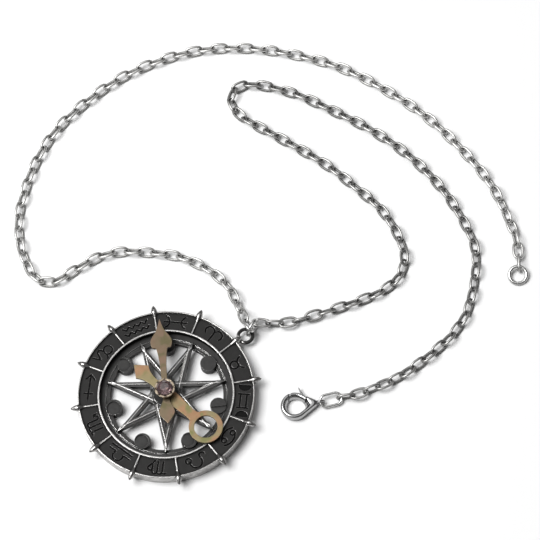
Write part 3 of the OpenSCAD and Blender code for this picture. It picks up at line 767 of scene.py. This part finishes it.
@dataclass
class Chain:
    """Both stretches of link chain and the rings that join them to the bail, the clasp and each other.

    Sizes are in millimetres and rolls in degrees. The middle line of a link reaches past its joints by half
    the wire and the play. Over turn_over links the chain comes from its first roll, and goes to its last.
    """

    pitch: float = 3.45
    width: float = 3.1
    wire: float = 0.68
    play: float = 0.17
    bluntness: float = 0.77
    roll: float = 45.0
    last_roll: float = 90.0
    turn_over: int = 6
    steps: int = 14
    sides: int = 6
    ring_side: Stretch = Stretch(
        "links_ring_side", "chain_ring_side", first_roll=55.0,
        # The links' patina follows height alone, so each link is darker towards its underside.
        finish=AntiquedMetal(
            "chain_steel", worn=(0.68, 0.675, 0.66), patina=(0.13, 0.13, 0.125), worn_roughness=0.4,
            patina_roughness=0.5, low=0.1 * MM, high=1.8 * MM, floor_wear=0.3, top_wear=0.9, edge_wear=0.0,
            hollow=0.8 * MM, mottle=0.25),
        route=(
            (22.88, 14.5, 4.78), (21.8, 17.7, 3.6), (20.7, 21, 2.5), (19.8, 24.4, 1.7), (18.4, 28.2, 1.4),
            (15.2, 32.4, 1.25), (10.5, 36.1, 1.22), (4.5, 39.1, 1.22), (-7.4, 41.5, 1.22),
            (-14.2, 40.9, 1.22), (-20.4, 38.1, 1.22), (-25.4, 35.3, 1.22), (-28.8, 35, 1.22),
            (-31.6, 36.9, 1.22), (-33.2, 40.2, 1.22), (-34.6, 45.3, 1.22), (-35, 51, 1.22),
            (-34.1, 57.8, 1.22), (-29.5, 69.8, 1.22), (-21.8, 80.6, 1.22), (-8.8, 90.5, 1.22),
            (3.1, 95.8, 1.22), (16.4, 98.4, 1.22), (29.9, 97.5, 1.22), (42.6, 93.9, 1.22),
            (54.2, 88.6, 1.22), (64.9, 80.8, 1.22), (74.6, 71.8, 1.22), (82.7, 61.2, 1.22),
            (89.3, 49.7, 1.22), (92.8, 38, 1.4), (93.8, 32, 1.58), (93.18, 24.85, 1.6)))
    clasp_side: Stretch = Stretch(
        "links_clasp_side", "chain_clasp_side", first_roll=-19.0,
        # A darker copy of the chain's steel for this stretch, also darker towards the links' undersides.
        finish=AntiquedMetal(
            "chain_steel_darker", worn=(0.5, 0.495, 0.485), patina=(0.06, 0.06, 0.057), worn_roughness=0.4,
            patina_roughness=0.5, low=0.1 * MM, high=2.0 * MM, floor_wear=0.15, top_wear=0.85, edge_wear=0.0,
            hollow=1.0 * MM, mottle=0.3),
        route=(
            (24.1, 17.6, 2), (27.6, 16.9, 1.85), (31, 16.6, 1.7), (34.5, 16.9, 1.6), (40.2, 18.1, 1.5),
            (46.8, 19.6, 1.3), (53.1, 21.2, 1.22), (58.8, 23.4, 1.22), (62.4, 26.4, 1.22),
            (64.4, 30.4, 1.22), (64.2, 35, 1.22), (62.6, 40.4, 1.22), (59.6, 46.4, 1.22),
            (55.2, 51.6, 1.22), (47.4, 60.1, 1.22), (37.3, 68.4, 1.22), (27.4, 76, 1.22),
            (24.6, 79.2, 1.22), (23.6, 82.8, 1.22), (25.3, 85.8, 1.22), (28.8, 86.6, 1.22),
            (33.8, 85.4, 1.22), (41.4, 82.1, 1.22), (48.6, 77.4, 1.22), (59.5, 69.6, 1.22),
            (69, 60.5, 1.22), (76.7, 49.5, 1.22), (81.7, 37.5, 1.22), (82.9, 31.1, 1.22),
            (82.3, 26.5, 1.22), (81.1, 21.6, 1.22), (78.7, 15, 1.22), (74.9, 9.7, 1.22), (69.9, 5.5, 1.22),
            (64.3, 1.7, 1.3), (58.7, -1.4, 1.45), (52.3, -3.6, 1.6), (47.6, -4.8, 1.6),
            (43.4, -5.1, 1.5)))
    # The rings too are darker towards their undersides, by height alone.
    ring_metal: AntiquedMetal = AntiquedMetal(
        "ring_steel", worn=(0.7, 0.7, 0.69), patina=(0.09, 0.09, 0.088), worn_roughness=0.26,
        patina_roughness=0.4, low=0.1 * MM, high=1.6 * MM, floor_wear=0.5, top_wear=0.95, edge_wear=0.0,
        hollow=0.8 * MM, mottle=0.2)
    rings: tuple[WireRing, ...] = (
        WireRing("jump_ring_bail", "bail_ring", radius=2.25, wire=0.9, turn=(90, 0, 52)),
        WireRing("jump_ring_end", "end_ring", radius=2.2, wire=1.0, turn=(0, -14.5, 78)),
        WireRing("oval_ring_clasp", "clasp_ring", radius=1.5, wire=0.7, turn=(15, 0, 8), straight=2.5))

    def rolls(self, count: int, first: float) -> np.ndarray:
        """How far each link is rolled about its length, in degrees.

        Links roll to either side by turns. The first few come from the roll of the first link, and the last
        few go over to a link that stands upright.

        Args:
            count: number of links.
            first: roll of the first link.

        Returns:
            One angle for each link.
        """
        k = np.arange(count)
        side = np.where(k % 2 == 0, self.roll, -self.roll)
        start = (first - self.roll) * np.maximum(0, 1 - k / self.turn_over)
        rest = np.sign(side[-1]) * self.last_roll - side[-1]
        return side + start + rest * np.maximum(0, 1 - (count - 1 - k) / self.turn_over)

    def link(self) -> np.ndarray:
        """The surface of a link lying flat along X.

        Its middle line at angle a is (half length x cos a, half width x sin a), each of the two raised to
        the power bluntness with its sign kept, which squares the oval's ends a little.

        Returns:
            Points of shape (steps, sides, 3).
        """
        half = np.array([self.pitch / 2 + self.wire / 2 + self.play, (self.width - self.wire) / 2])
        return loop_tube(half * blunted(round_path(self.steps), self.bluntness), self.wire / 2, self.sides)

    def links(self, stretch: Stretch) -> np.ndarray:
        """Every link of one stretch of chain.

        Link k is the flat link, rolled about X, pitched and yawed so that X runs from joint k to joint
        k + 1, and put midway between them.

        Args:
            stretch: the stretch.

        Returns:
            Points of shape (links, steps, sides, 3), in metres.
        """
        at = stretch.joints(self.pitch)
        run = np.diff(at, axis=0)
        rolls = self.rolls(len(run), stretch.first_roll)
        pitches = -np.degrees(np.arcsin(run[:, 2] / np.linalg.norm(run, axis=1)))
        yaws = np.degrees(np.arctan2(run[:, 1], run[:, 0]))
        spins = np.stack([turned(*angles) for angles in zip(rolls, pitches, yaws)])
        middles = (at[:-1] + at[1:]) / 2
        return MM * (np.einsum("nij,klj->nkli", spins, self.link()) + middles[:, None, None, :])

    def build(self) -> None:
        """Build both stretches and the three rings."""
        for stretch in (self.ring_side, self.clasp_side):
            points = self.links(stretch)
            faces = closed_grid(*points.shape[:3])
            piece = new_piece(stretch.name, points, faces, stretch.finish.material(), Slot.CHAIN_STEEL)
            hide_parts(stretch.node)
        finish = self.ring_metal.material()
        for ring in self.rings:
            ring.build(finish)


@dataclass(frozen=True)
class Drop:
    """A drop-shaped outline: a large circle at the origin, a small one at the tail and the lines between."""

    radius: float
    tail: tuple[float, float]
    tail_radius: float
    tail_points: int = 60
    round_points: int = 400
    points: int = 2000

    def outline(self) -> np.ndarray:
        """Closely spaced points round the drop, anticlockwise from its tail.

        The two straight lines touch both circles where the outward normal leans from the tail's direction
        by the angle whose cosine is (large radius - small radius) / distance.

        Returns:
            One row of two for each point.
        """
        tail_at = np.array(self.tail)
        lean = np.arccos((self.radius - self.tail_radius) / np.hypot(*tail_at))
        tail = np.linspace(0, lean, self.tail_points)
        back = np.linspace(lean, 2 * np.pi - lean, self.round_points)
        angles = np.arctan2(tail_at[1], tail_at[0]) + np.concatenate([tail, back, tail - lean])
        counts = [self.tail_points, self.round_points, self.tail_points]
        at_tail = np.repeat([1.0, 0.0, 1.0], counts)[:, None]
        radii = at_tail * self.tail_radius + (1 - at_tail) * self.radius
        path = at_tail * tail_at + radii * np.stack([np.cos(angles), np.sin(angles)], axis=1)
        return spaced(path, np.linspace(0, 1, self.points))


@dataclass
class Clasp:
    """The lobster clasp: its hook with the eye at its tail, and its sprung gate with the thumb tab.

    Lengths are in millimetres, in the clasp's own plane: X from the middle of the round end to the tail. The
    hole's outline goes over to the throat's from the top of the clasp to its underside. A row of the tab is
    a point of its middle and its width there. Each end of a bar is rounded off by sections at cap_shares of
    its length, with cap_sizes of its full size.
    """

    place: tuple[float, float] = (32.0, -6.1)
    turn: float = 3.0
    thick: float = 2.4
    outer: Drop = Drop(radius=3.6, tail=(4.9, 0.0), tail_radius=1.0)
    hole: Drop = Drop(radius=2.4, tail=(2.8, -0.15), tail_radius=0.8)
    throat: Drop = Drop(radius=1.8, tail=(0.45, 0.0), tail_radius=1.8)
    pivot: tuple[float, float] = (3.95, 0.55)
    gate_reach: float = 5.3
    gate_end: float = 3.1
    gate_foot: float = 0.35
    gate_thinner: float = 0.1
    gap: float = 0.1
    fullness: float = 0.8
    stations: int = 90
    sides: int = 28
    cap: float = 0.022
    cap_shares: tuple[float, ...] = (0.0, 0.003, 0.01)
    cap_sizes: tuple[float, ...] = (0.55, 0.8, 0.94)
    tab: tuple[Point, ...] = (
        (2.45, 2.3, 0.7), (2.3, 2.9, 0.6), (2.1, 3.5, 0.45), (1.9, 4.1, 0.34), (1.75, 4.75, 0.26))
    tab_thick: float = 0.7
    eye_at: Point = (6.55, 0.0, 1.31)
    eye_radius: float = 0.95
    eye_wire: float = 0.7
    eye_steps: int = 48
    eye_sides: int = 16
    # The clasp is darker towards its underside, by height alone.
    metal: AntiquedMetal = AntiquedMetal(
        "clasp_casting", worn=(0.42, 0.42, 0.42), patina=(0.05, 0.05, 0.05), worn_roughness=0.2,
        patina_roughness=0.3, low=0.0, high=2.0 * MM, floor_wear=0.55, top_wear=0.95, edge_wear=0.0,
        hollow=0.6 * MM, mottle=0.1)
    # A darker copy of the clasp's metal, for the tab.
    tab_metal: AntiquedMetal = AntiquedMetal(
        "clasp_tab", worn=(0.2, 0.2, 0.2), patina=(0.05, 0.05, 0.05), worn_roughness=0.4,
        patina_roughness=0.5, low=0.0, high=2.0 * MM, floor_wear=0.5, top_wear=0.9, edge_wear=0.0,
        hollow=0.5 * MM, mottle=0.2)

    def on_gate(self, path: np.ndarray, margin: float) -> np.ndarray:
        """Tell which points of a path lie on the gate, or past its ends by less than a margin.

        The gate lies above its foot, and reaches from the line X = gate_end to the circle of radius
        gate_reach about its pivot.

        Args:
            path: points of an outline.
            margin: how far past the gate's ends a point still counts.

        Returns:
            True or false for each point.
        """
        away = np.linalg.norm(path - np.array(self.pivot), axis=1)
        before_end = path[:, 0] < self.gate_end + margin
        return before_end & (away < self.gate_reach + margin) & (path[:, 1] > self.gate_foot)

    def split(self, drop: Drop) -> tuple[np.ndarray, np.ndarray]:
        """Part an outline into the gate's stretch and the hook's, with a gap between the two.

        Args:
            drop: the outline.

        Returns:
            The gate's points and the hook's, both anticlockwise.
        """
        path = drop.outline()
        near = self.on_gate(path, self.gap)
        after = np.flatnonzero(near)[-1] + 1
        hook = np.roll(path[:-1], -after, axis=0)[~np.roll(near[:-1], -after)]
        return path[self.on_gate(path, 0.0)], hook

    def bar(self, outer: np.ndarray, inner: np.ndarray, deep: np.ndarray, thick: float) -> np.ndarray:
        """The surface of a full, rounded bar between two paths, with rounded ends.

        At angle v a point is the middle between the paths, plus half their distance times cos v, with half
        the thickness times sin v for its height, each of the two raised to the power fullness with its sign
        kept. The inner path goes over to the deep one as the height falls from the top to the underside.
        The section shrinks to a point at each end.

        Args:
            outer: the path along the bar's outer side.
            inner: the path along its inner side at the top.
            deep: the path along its inner side at the underside.
            thick: its thickness.

        Returns:
            The rings of points, and then the two end points.
        """
        caps = np.array(self.cap_shares)
        shares = np.concatenate([caps, np.linspace(self.cap, 1 - self.cap, self.stations), 1 - caps[::-1]])
        sizes = np.concatenate([self.cap_sizes, np.ones(self.stations), self.cap_sizes[::-1]])[:, None]
        a, b, c = (spaced(path, shares) for path in (outer, inner, deep))
        clockwise = round_path(self.sides) * np.array([1.0, -1.0])
        across, up = blunted(clockwise, self.fullness).T
        side = c[:, None, :] + (b - c)[:, None, :] * (up[None, :, None] + 1) / 2
        middle = (a[:, None, :] + side) / 2
        flat = middle + across[None, :, None] * (a[:, None, :] - side) / 2 * sizes[:, :, None]
        z = self.thick / 2 + thick / 2 * sizes * up[None, :]
        rings = np.concatenate([flat, z[:, :, None]], axis=2).reshape(-1, 3)
        ends = np.stack([(2 * a[k] + b[k] + c[k]) / 4 for k in (0, -1)])
        tips = np.concatenate([ends, np.full((2, 1), self.thick / 2)], axis=1)
        return np.concatenate([rings, tips])

    def eye(self) -> np.ndarray:
        """The eye at the tail: a loop of wire that stands upright along X."""
        loop = loop_tube(self.eye_radius * round_path(self.eye_steps), self.eye_wire / 2, self.eye_sides)
        return loop.reshape(-1, 3) @ turned(90, 0, 0).T + np.array(self.eye_at)

    def thumb_tab(self) -> np.ndarray:
        """The thumb tab: a bar that reaches along X by half its width to both sides of its middle.

        Returns:
            The rings of points, and then the two end points.
        """
        rows = np.array(self.tab)
        side = rows[:, 2:] / 2 * np.array([1.0, 0.0])
        right = rows[:, :2] + side
        return self.bar(rows[:, :2] - side, right, right, self.tab_thick)

    def laid(self, points: np.ndarray) -> np.ndarray:
        """Points of the clasp's own plane where the clasp lies, in metres."""
        return MM * (points @ turned(0, 0, self.turn).T + np.array([*self.place, 0.0]))

    def build(self) -> None:
        """Build the hook, the gate and its tab, and put them in the places of the two solids."""
        metal = self.metal.material()
        outlines = (self.outer, self.hole, self.throat)
        gate_paths, hook_paths = zip(*(self.split(drop) for drop in outlines))
        bar_faces = capped_grid(self.stations + 2 * len(self.cap_shares), self.sides)
        hook = self.bar(*hook_paths, self.thick)
        eye_faces = np.array(closed_grid(1, self.eye_steps, self.eye_sides)) + len(hook)
        points = self.laid(np.concatenate([hook, self.eye()]))
        piece = new_piece("clasp_hook", points, bar_faces + eye_faces.tolist(), metal, Slot.CLASP_STEEL)
        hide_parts("clasp_body")
        gate = self.bar(*gate_paths, self.thick - self.gate_thinner)
        sprung = (("clasp_gate", gate, metal), ("clasp_tab", self.thumb_tab(), self.tab_metal.material()))
        for name, bar, finish in sprung:
            piece = new_piece(name, self.laid(bar), bar_faces, finish, Slot.CLASP_STEEL, "lever")
            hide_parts("clasp_lever")


@dataclass(frozen=True)
class SoftLight:
    """A square soft light: where it hangs, its side in metres and its power in watts."""

    name: str
    place: Point
    size: float
    power: float

    def hang(self, aim: Point) -> None:
        """Hang the light in its place.

        Args:
            aim: what it faces.
        """
        data = bpy.data.lights.new(self.name, "AREA")
        data.size = self.size
        data.energy = self.power
        lamp = bpy.data.objects.new(self.name, data)
        bpy.context.scene.collection.objects.link(lamp)
        way = Vector(aim) - Vector(self.place)
        lamp.rotation_euler = way.to_track_quat("-Z", "Y").to_euler()
        lamp.location = self.place


@dataclass
class Studio:
    """The surface, the lights and the camera, which stands at the photograph's place and angle."""

    floor: PaleSurface = PaleSurface("pale_surface")
    floor_reach: float = 2.0
    key: SoftLight = SoftLight("key", (-0.54, 0.05, 1.14), size=0.72, power=18.3)
    top: SoftLight = SoftLight("top", (0.03, 0.55, 1.1), size=0.9, power=2.2)
    aim: Point = (0.03, 0.035, 0.0)
    sky: float = 0.12
    camera_at: Point = (0.029403, -0.215853, 0.571217)
    elevation: float = 66.5
    lean: float = 6.0
    focal: float = 160.0
    sensor: float = 36.0
    nearest: float = 0.01

    def surface(self) -> None:
        """Lay the floor."""
        far = self.floor_reach
        corners = [(-far, -far, 0.0), (far, -far, 0.0), (far, far, 0.0), (-far, far, 0.0)]
        mesh = bpy.data.meshes.new("surface")
        mesh.from_pydata(corners, [], [(0, 1, 2, 3)])
        mesh.materials.append(self.floor.material())
        floor = bpy.data.objects.new("surface", mesh)
        bpy.context.scene.collection.objects.link(floor)

    def camera(self) -> None:
        """Set up the camera: turned in its own picture by the lean, then tipped up from straight down."""
        data = bpy.data.cameras.new("camera")
        data.lens = self.focal
        data.sensor_width = self.sensor
        data.clip_start = self.nearest
        camera = bpy.data.objects.new("camera", data)
        bpy.context.scene.collection.objects.link(camera)
        spin = turned(90 - self.elevation, 0, 0) @ turned(0, 0, -self.lean)
        camera.matrix_world = Matrix.Translation(self.camera_at) @ Matrix(spin.tolist()).to_4x4()
        bpy.context.scene.camera = camera

    def build(self) -> None:
        """Set up the studio, with a faint white light from all sides."""
        world = bpy.data.worlds.new("studio")
        world.use_nodes = True
        backdrop = world.node_tree.nodes["Background"]
        backdrop.inputs["Color"].default_value = (1.0, 1.0, 1.0, 1.0)
        backdrop.inputs["Strength"].default_value = self.sky
        bpy.context.scene.world = world
        bpy.context.scene.view_settings.view_transform = "Standard"
        self.surface()
        self.key.hang(self.aim)
        self.top.hang(self.aim)
        self.camera()


def main() -> None:
    """Build every sub-assembly in order."""
    logging.basicConfig(level=logging.INFO, format="%(message)s")
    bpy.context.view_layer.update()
    for part in (Studio(), Pendant(), Hands(), Chain(), Clasp()):
        part.build()
        log.info("built %s", type(part).__name__)


if __name__ == "__main__":
    main()
